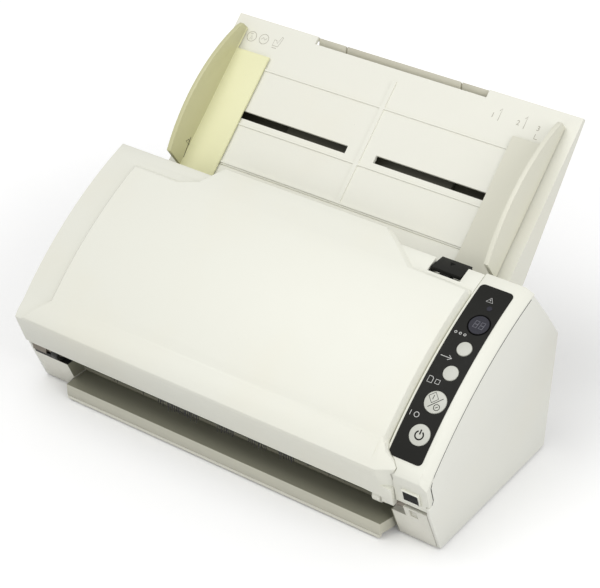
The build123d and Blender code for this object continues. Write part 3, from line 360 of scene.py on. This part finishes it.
def make_mixed_finishes():
    """The finishes of single nodes: those with parts in painted shade, a darker colour where they lie in shade,
    and the dark pane.
    """
    # Painted shade in the slots: the back cover's inside, the extension's plate and the guides' racks are
    # darker where they lie in shade
    behind = (SLOT_PAINTED_SHADE, lambda finish: finish.above_path() > BACK_COVER_FACE)
    plate = (SLOT_PAINTED_SHADE, lambda finish: (finish.above_path() > EXTENSION_FACE)
             * (finish.up_path() < EXTENSION_GRIP))
    rack = (SLOT_PAINTED_SHADE, lambda finish: finish.above_path() < RACK_TOP)
    # Painted shade: the left guide's fin is darker than its base, as if its face lay in shade
    fin = (FIN_PAINTED_SHADE, lambda finish: finish.above_path() > FIN_FOOT)
    # Painted shade: the tray's top under the cover's lip
    tray_top = (EXIT_PAINTED_SHADE, lambda finish: finish.along(2) > TRAY_TOP)
    # Painted shade: the cover's hinge eye, near black as if in deep shade
    eye = (POCKET_PAINTED_SHADE, lambda finish: (finish.along(0) < HINGE_EYE[0]) * (finish.along(2) < HINGE_EYE[2])
           * (finish.along(1) > HINGE_EYE[1] + SHIFT))
    # Painted shade: the foot's pocket round the hinge eye
    pocket = (POCKET_PAINTED_SHADE, lambda finish: (finish.along(0) < FOOT_POCKET[0]) * (finish.along(2) > FOOT_POCKET[2])
              * (finish.along(1) > FOOT_POCKET[1] + SHIFT))
    # Painted shade: the chassis between its feet, under the cover's lip
    inner = (EXIT_PAINTED_SHADE, lambda finish: (finish.along(0) > BETWEEN_FEET[0])
             * (finish.along(0) < BETWEEN_FEET[1]))
    return {
        "chute_back_cover": moulded_plastic("back_cover_painted_shade", CHUTE_WHITE, 0.45, parts=[behind]),
        "chute_extension": moulded_plastic("extension_painted_shade", EXTENSION_TAN, 0.45, parts=[plate]),
        "side_guide_left": moulded_plastic("left_guide_painted_shade", AGED_CREAM, 0.4, 0.1, parts=[fin, rack]),
        "side_guide_right": moulded_plastic("right_guide_painted_shade", PALE_GUIDE, 0.4, 0.1, parts=[rack]),
        "stacker_tray": moulded_plastic("tray_painted_shade", TRAY_WHITE, 0.48, parts=[tray_top]),
        "front_cover": moulded_plastic("cover_painted_shade", SHELL_WHITE, parts=[eye]),
        "chassis": moulded_plastic("chassis_painted_shade", FOOT_WHITE, 0.48, parts=[inner, pocket]),
        "front_window": dark_plastic("pane_black", (0.016, 0.016, 0.016), 0.4, shine=0.1),
    }


def make_inks():
    """The inks of the printed symbols and of the display, and the painted shadow in the seam between panel and
    side cover.
    """
    return {
        "dark_ink_and_seam_shadow": dark_plastic("dark_ink_and_seam_shadow", (0.02, 0.02, 0.018), 0.5, shine=0.1),
        "white_ink": dark_plastic("white_ink", (0.62, 0.62, 0.60), 0.5),
        "grey_ink": dark_plastic("grey_ink", (0.42, 0.40, 0.33), 0.5),
        "display_ink": dark_plastic("display_ink", (0.11, 0.11, 0.13), 0.4),
        "black_ink": dark_plastic("black_ink", (0.002, 0.002, 0.002), 0.6, shine=0.05),
    }


def paint(piece, material):
    """Gives a piece one material."""
    piece.data.materials.clear()
    piece.data.materials.append(material)


def finish_of(node):
    """The material of a node: its own mixed one, or that of its slot."""
    return MIXED.get(node, FINISHES[SLOT_OF[node]])


def pick_nothing():
    """Clears the selection."""
    bpy.ops.object.select_all(action="DESELECT")


def pick_only(piece):
    """Makes a piece the only selected and the active one."""
    pick_nothing()
    piece.select_set(True)
    bpy.context.view_layer.objects.active = piece


def apply_modifiers(piece):
    """Applies every modifier of a piece."""
    pick_only(piece)
    for modifier in list(piece.modifiers):
        bpy.ops.object.modifier_apply(modifier=modifier.name)


def rounded_copy(node, edge, segments):
    """A copy of a CAD node, with merged flat triangles and rounded sharp edges, that replaces the node."""
    piece = bpy.data.objects.new(node + "_skin", NODES[node].data.copy())
    bpy.context.scene.collection.objects.link(piece)
    pick_only(piece)
    bpy.ops.object.mode_set(mode="EDIT")
    bpy.ops.mesh.select_all(action="SELECT")
    bpy.ops.mesh.remove_doubles(threshold=MERGE_DISTANCE)
    bpy.ops.mesh.dissolve_limited(angle_limit=math.radians(FLAT_ANGLE))
    bpy.ops.object.mode_set(mode="OBJECT")
    bevel = piece.modifiers.new("rounding", "BEVEL")
    bevel.width = edge
    bevel.segments = segments
    bevel.limit_method = "ANGLE"
    bevel.angle_limit = math.radians(ROUNDED_ANGLE)
    bevel.miter_outer = "MITER_ARC"
    apply_modifiers(piece)
    bpy.ops.object.shade_smooth_by_angle(angle=math.radians(SMOOTH_ANGLE))
    paint(piece, finish_of(node))
    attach(piece, BODY_OF[node])
    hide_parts(node)


def spot(point, right, normal):
    """A frame at a point in millimetres, from its first and third axis."""
    up = normal.cross(right)
    turn = Matrix((right, up, normal)).transposed().to_4x4()
    return Matrix.Translation(point * MM) @ turn


def skin_place(x, y, drop, out):
    """The frame of a spot out over the lowered skin: first axis +X, second up the skin, third off it."""
    radius = SKIN_RADIUS - drop
    z = SKIN_AXIS[1] + math.sqrt(radius ** 2 - (y - SKIN_AXIS[0]) ** 2)
    normal = Vector((0, y - SKIN_AXIS[0], z - SKIN_AXIS[1])).normalized()
    return spot(Vector((x, y, z)) + normal * out, Vector((1, 0, 0)), normal)


def chute_place(x, v, out):
    """The frame of a spot out over the chute's face, v up its slope."""
    along = Vector((0, math.cos(PATH_SLOPE), math.sin(PATH_SLOPE)))
    normal = Vector((0, -math.sin(PATH_SLOPE), math.cos(PATH_SLOPE)))
    return spot(Vector((x, *PATH_POINT)) + along * v + normal * out, Vector((1, 0, 0)), normal)


def settle(piece, place, colour, node):
    """Gives a flat piece its place, its material and the body of the node that it lies on."""
    piece.matrix_world = place
    pick_only(piece)
    bpy.ops.object.transform_apply(location=True, rotation=True, scale=True)
    paint(piece, colour)
    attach(piece, BODY_OF[node])


def stroke(name, lines, width, place, colour, node):
    """Flat strips along lines, lists of points in millimetres, each closed if it ends where it began."""
    data = bpy.data.curves.new(name, "CURVE")
    data.dimensions = "3D"
    data.bevel_depth = width / 2 * MM
    data.bevel_resolution = 1
    data.use_fill_caps = True
    for points in lines:
        closed = points[0] == points[-1]
        corners = points[:-1] if closed else points
        spline = data.splines.new("POLY")
        spline.points.add(len(corners) - 1)
        for corner, (u, w) in zip(spline.points, corners):
            corner.co = (u * MM, w * MM, 0.0, 1.0)
        spline.use_cyclic_u = closed
    piece = bpy.data.objects.new(name, data)
    bpy.context.scene.collection.objects.link(piece)
    pick_only(piece)
    bpy.ops.object.convert(target="MESH")
    bpy.ops.object.mode_set(mode="EDIT")
    bpy.ops.mesh.select_all(action="SELECT")
    bpy.ops.transform.resize(value=(1.0, 1.0, PRINT_THICKNESS * MM / (width * MM)))
    bpy.ops.object.mode_set(mode="OBJECT")
    settle(piece, place, colour, node)
    return piece


def ring(centre, radius, start=0.0, end=360.0, steps=28):
    """Points round a centre, from one angle to another in degrees."""
    points = []
    for step in range(steps + 1):
        angle = math.radians(start + (end - start) * step / steps)
        points.append((centre[0] + radius * math.cos(angle), centre[1] + radius * math.sin(angle)))
    if abs(end - start) >= 360.0:
        points[-1] = points[0]
    return points


def numeral(name, text, size, place, colour, node):
    """A printed numeral."""
    pick_nothing()
    bpy.ops.object.text_add()
    piece = bpy.context.active_object
    piece.name = name
    piece.data.body = text
    piece.data.size = size * MM
    piece.data.extrude = 0.03 * MM
    piece.data.align_x = "CENTER"
    piece.data.align_y = "CENTER"
    pick_only(piece)
    bpy.ops.object.convert(target="MESH")
    settle(piece, place, colour, node)


def add_button_symbols():
    """The generic symbols on the power and the scan button."""
    ink = INKS["dark_ink_and_seam_shadow"]
    top = skin_place(BUTTON_X, POWER_Y + SHIFT, KEY_DROP, KEY_PRINT)
    lines = [ring((0, -0.3), 2.5, 120, 420), [(0, 0.2), (0, 3.2)]]
    stroke("power_symbol", lines, 0.9, top, ink, "power_button")
    top = skin_place(BUTTON_X, SCAN_Y + SHIFT, KEY_DROP, KEY_PRINT)
    diamond = [(-5.3, 2.2), (-2.2, 5.4), (1.1, 2.1), (-1.9, -1.2), (-5.3, 2.2)]
    lines = [diamond, [(-2.2, 3.6), (-2.2, 0.9)], [(-3.0, -4.0), (3.7, 3.3)], ring((2.2, -2.7), 1.8),
             [(1.5, -3.3), (2.9, -2.1)]]
    stroke("scan_symbol", lines, 0.42, top, ink, "scan_button")


def add_panel_symbols():
    """Small white symbols on the label plate, and the figures and the rim of the display."""
    marks = {
        "check": (132.5, 28.4, [[(-2.1, -1.4), (0, 1.9), (2.1, -1.4), (-2.1, -1.4)],
                                [(0, 0.7), (0, -0.5)]]),
        "function": (127.6, 4.6, [ring((x, 0), 0.7, steps=10) for x in (-3.0, 0.0, 3.0)]),
        "send": (127.4, -9.6, [[(-3.6, 0), (3.4, 0)], [(1.4, 1.5), (3.6, 0), (1.4, -1.5)]]),
        "scan": (125.6, -22.6, [[(-1.5, -1.9), (1.5, -1.9), (1.5, 1.0), (0.6, 1.9), (-1.5, 1.9),
                                 (-1.5, -1.9)],
                                [(3.3, -1.4), (5.9, -1.4), (5.9, 1.2), (3.3, 1.2), (3.3, -1.4)]]),
        "power": (126.4, -39.8, [[(-2.6, -1.5), (-2.6, 1.5)], ring((1.4, 0), 1.5, steps=18)]),
    }
    for name, (x, y, lines) in marks.items():
        place = skin_place(x, y + SHIFT, PLATE_DROP, PLATE_PRINT)
        stroke(name + "_mark", lines, 0.42, place, INKS["white_ink"], "panel_overlay")
    place = skin_place(BUTTON_X, DISPLAY_Y + SHIFT, KEY_DROP, DISPLAY_PRINT)
    digits = []
    for u in (-1.9, 1.9):
        digits.append([(u - 1.2, -2.2), (u + 1.1, -2.2), (u + 1.5, 2.2), (u - 0.8, 2.2), (u - 1.2, -2.2)])
        digits.append([(u - 1.0, 0), (u + 1.2, 0)])
    stroke("display_figures", digits, 0.7, place, INKS["display_ink"], "display_window")
    rim = [ring((0, 0), 6.5, steps=40)]
    stroke("display_rim", rim, 0.9, place, INKS["black_ink"], "display_window")


def add_chute_symbols():
    """Size marks with plain numbers and small pictograms on the chute, and a height mark on a guide."""
    tick = [[(0, -4), (0, 4), (-1.2, 2.4)]]
    corner = [[(-1.2, 1.4), (-1.2, -1.6), (1.0, -1.6)]]
    marks = [
        ("size_tick_1", 75.5, 96.5, tick),
        ("size_number_1", 71.0, 95.0, "1"),
        ("size_tick_2", 93.1, 96.5, tick),
        ("size_number_2", 88.6, 95.0, "2"),
        ("size_number_3", 102.4, 95.3, "3"),
        ("size_tick_3", 103.4, 90.2, corner),
        ("pictogram_folded", -110.7, 96.6,
         [ring((0, 0), 3.4), [(-1.6, 1.8), (0.2, 2.2)], [(-0.6, -2.2), (-0.2, 1.2), (1.0, -2.0)]]),
        ("pictogram_creased", -101.3, 97.2,
         [ring((0, 0), 3.4), [(-2.0, -0.6), (-0.6, 1.0), (0.8, -0.6), (2.0, 1.0)]]),
        ("pictogram_sheet", -90.9, 98.0,
         [[(-2.6, -3.0), (-2.6, 1.0), (-1.0, 1.0), (0.2, -1.0), (2.0, 4.2), (3.0, 3.6), (1.6, -3.0),
           (-2.6, -3.0)], [(-2.4, -4.4), (1.0, -4.4)]]),
    ]
    for name, x, v, drawing in marks:
        place = chute_place(x, v, CHUTE_PRINT)
        if isinstance(drawing, str):
            numeral(name, drawing, NUMERAL_SIZE, place, INKS["grey_ink"], "paper_chute")
        else:
            width = TICK_WIDTH if name.startswith("size") else PICTOGRAM_WIDTH
            stroke(name, drawing, width, place, INKS["grey_ink"], "paper_chute")
    face = spot(Vector((-115.47, 65.15 + SHIFT, 129.6)), Vector((0, 1, 0)), Vector((1, 0, 0)))
    lines = [[(-4.2, -5.5), (4.2, 5.5)], [(-1.0, 4.9), (2.0, 4.9), (2.0, 0.6), (-1.0, 4.9)]]
    stroke("height_mark", lines, 0.6, face, INKS["dark_ink_and_seam_shadow"], "side_guide_left")


def add_lever_arrow():
    """The arrow on the release lever, a small triangle in a larger one."""
    face = spot(Vector((97.0, 44.2 + SHIFT, 129.22)), Vector((1, 0, 0)), Vector((0, 0, 1)))
    lines = [[(-1.6, 1.2), (1.6, 1.2), (0, -1.4), (-1.6, 1.2)],
             [(-0.8, 0.7), (0.8, 0.7), (0, -0.6), (-0.8, 0.7)]]
    stroke("lever_arrow", lines, 0.6, face, INKS["black_ink"], "release_lever")


def add_seam():
    """A painted shadow in the open seam between the panel and the right side cover: a dark strip inside the
    gap.
    """
    points = []
    for y in SEAM_CURVE:
        rise = math.sqrt(SEAM_RADIUS ** 2 - (y + SHIFT - SKIN_AXIS[0]) ** 2)
        points.append((y, SKIN_AXIS[1] + rise))
    face = spot(Vector((SEAM_X, SHIFT, 0)), Vector((0, 1, 0)), Vector((1, 0, 0)))
    stroke("panel_seam_shadow", [points + SEAM_CORNERS], 0.8, face, INKS["dark_ink_and_seam_shadow"], "control_panel_cover")


def add_brush():
    """Tufts of fine strands that hang from under the cover's lip, uneven in length and slightly splayed."""
    for number, (left, right, tip) in enumerate(TUFTS):
        lines = []
        for strand in range(max(4, round((right - left) / STRAND_PITCH))):
            x = left + strand * STRAND_PITCH
            wave = math.sin(strand * 1.7 + number) + math.sin(strand * 4.3 + 2.1 * number)
            end = tip + 1.3 + 1.3 * wave
            lean = 0.6 * math.sin(strand * 2.6 + number)
            lines.append([(x, STRAND_TOP), (x, STRAND_BEND), (x + lean, end)])
        face = spot(Vector((0.0, BRUSH_Y + SHIFT, 0.0)), Vector((1, 0, 0)), Vector((0, -1, 0)))
        name = f"brush_tuft_{number}"
        piece = stroke(name, lines, STRAND_WIDTH, face, FINISHES["brush_black"], "static_brush")
        if number == 0:
            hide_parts("static_brush")


def add_camera():
    """The photo's viewpoint."""
    data = bpy.data.cameras.new("camera")
    data.sensor_width = SENSOR
    data.lens = SENSOR * FOCAL_PIXELS / FRAME_WIDTH
    data.clip_start = 0.05
    data.clip_end = 20.0
    camera = bpy.data.objects.new("camera", data)
    camera.location = Vector(CAMERA_PLACE) * MM
    camera.rotation_euler = (math.pi / 2 - CAMERA_TILT, 0.0, CAMERA_TURN)
    bpy.context.scene.collection.objects.link(camera)
    bpy.context.scene.camera = camera


def add_lamp(name, place, target, size, power):
    """A square softbox."""
    data = bpy.data.lights.new(name, "AREA")
    data.size = size
    data.energy = power
    lamp = bpy.data.objects.new(name, data)
    lamp.location = place
    lamp.rotation_euler = (Vector(target) - Vector(place)).to_track_quat("-Z", "Y").to_euler()
    bpy.context.scene.collection.objects.link(lamp)


def add_studio():
    """A pale floor that is white to the camera and keeps the shadow, with a painted glow that is weaker near
    the object, a white world and three softboxes.
    """
    pick_nothing()
    bpy.ops.mesh.primitive_plane_add(size=12.0, location=(0, 0, 0))
    floor = bpy.context.active_object
    floor.name = "floor"
    finish = Finish("floor_paper")
    seen = finish.node("LightPath")
    finish.set(Base_Color=finish.blend(seen, (0.75, 0.75, 0.75), (0.96, 0.96, 0.96)))
    finish.set(Roughness=0.9, Specular_IOR_Level=0.0)
    # Painted light: the floor glows to the camera, more away from the object than near it
    far = finish.node("VectorMath", {"operation": "LENGTH"}, {0: finish.place()}, 1)
    painted_floor_glow = seen * (far.smooth(0.15, 0.5) * 0.75 + 0.25)
    finish.set(Emission_Color=finish.blend(painted_floor_glow, (0.0, 0.0, 0.0), (1.0, 1.0, 1.0)), Emission_Strength=0.25)
    paint(floor, finish.material)
    world = bpy.data.worlds.new("studio")
    world.use_nodes = True
    sky = world.node_tree.nodes["Background"].inputs
    sky["Color"].default_value = (1, 1, 1, 1)
    sky["Strength"].default_value = 0.57
    bpy.context.scene.world = world
    add_lamp("key", (-0.3, -0.5, 1.5), (0, 0, 0.08), 0.9, 7.8)
    add_lamp("front", (0.1, -1.6, 0.3), (0, 0, 0.05), 0.8, 2.2)
    add_lamp("fill", (1.3, -0.3, 0.9), (0, 0, 0.08), 1.0, 7.5)
    bpy.context.scene.view_settings.view_transform = "Standard"


FINISHES = make_finishes()
MIXED = make_mixed_finishes()
INKS = make_inks()
for node, piece in NODES.items():
    paint(piece, finish_of(node))
# The outer pieces: the radius of their edges in metres, the segments of the rounding and the nodes. The paper
# chute and the rear cover stay as they are, because merging the triangles round their openings tears them.
for edge, segments, members in (
        (0.0006, 2, ("front_cover", "control_panel_cover")),
        (0.0004, 2, ("left_side_cover", "right_side_cover", "chassis")),
        (0.0003, 2, ("side_guide_left", "side_guide_right", "chute_extension", "stacker_tray")),
        (0.0004, 3, ("power_button", "scan_button", "send_button", "function_button")),
        (0.0004, 3, ("release_lever", "window_frame"))):
    for node in members:
        rounded_copy(node, edge, segments)
add_button_symbols()
add_panel_symbols()
add_chute_symbols()
add_lever_arrow()
add_seam()
add_brush()
add_camera()
add_studio()
